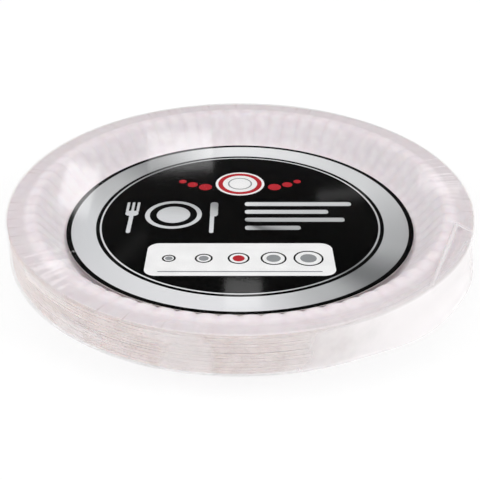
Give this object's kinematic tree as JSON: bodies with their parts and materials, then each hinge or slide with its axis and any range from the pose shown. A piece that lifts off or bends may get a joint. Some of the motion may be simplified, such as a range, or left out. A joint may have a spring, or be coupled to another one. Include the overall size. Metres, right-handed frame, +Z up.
{
  "type": "stack of paper plates",
  "caption": "Shrink-wrapped stack of round white paper plates with fluted walls and flat flanges, with a round card label under clear film.",
  "frame": {"origin": "centre of the underside, where the film meets the table", "axes": "+Z up through the middle of the plates; the pack is round, so X and Y are free"},
  "size_m": [0.1826, 0.1826, 0.0277],
  "materials": {
    "plate_board": "uncoated white paper board, pressed",
    "label_card": "black printed card, satin",
    "clear_film": "clear glossy shrink film"
  },
  "bodies": {
    "root": {"plate_01": "plate_board", "plate_02": "plate_board", "plate_03": "plate_board", "plate_04": "plate_board", "plate_05": "plate_board", "plate_06": "plate_board", "plate_07": "plate_board", "plate_08": "plate_board", "plate_09": "plate_board", "plate_10": "plate_board", "plate_11": "plate_board", "plate_12": "plate_board", "plate_13": "plate_board", "plate_14": "plate_board", "plate_15": "plate_board", "plate_16": "plate_board", "plate_17": "plate_board", "plate_18": "plate_board", "plate_19": "plate_board", "plate_20": "plate_board", "plate_21": "plate_board", "plate_22": "plate_board", "plate_23": "plate_board", "plate_24": "plate_board", "plate_25": "plate_board", "plate_26": "plate_board", "plate_27": "plate_board", "plate_28": "plate_board", "plate_29": "plate_board", "plate_30": "plate_board", "plate_31": "plate_board", "plate_32": "plate_board", "plate_33": "plate_board", "plate_34": "plate_board", "plate_35": "plate_board", "label": "label_card", "film_wrap": "clear_film"}
  },
  "joints": []
}
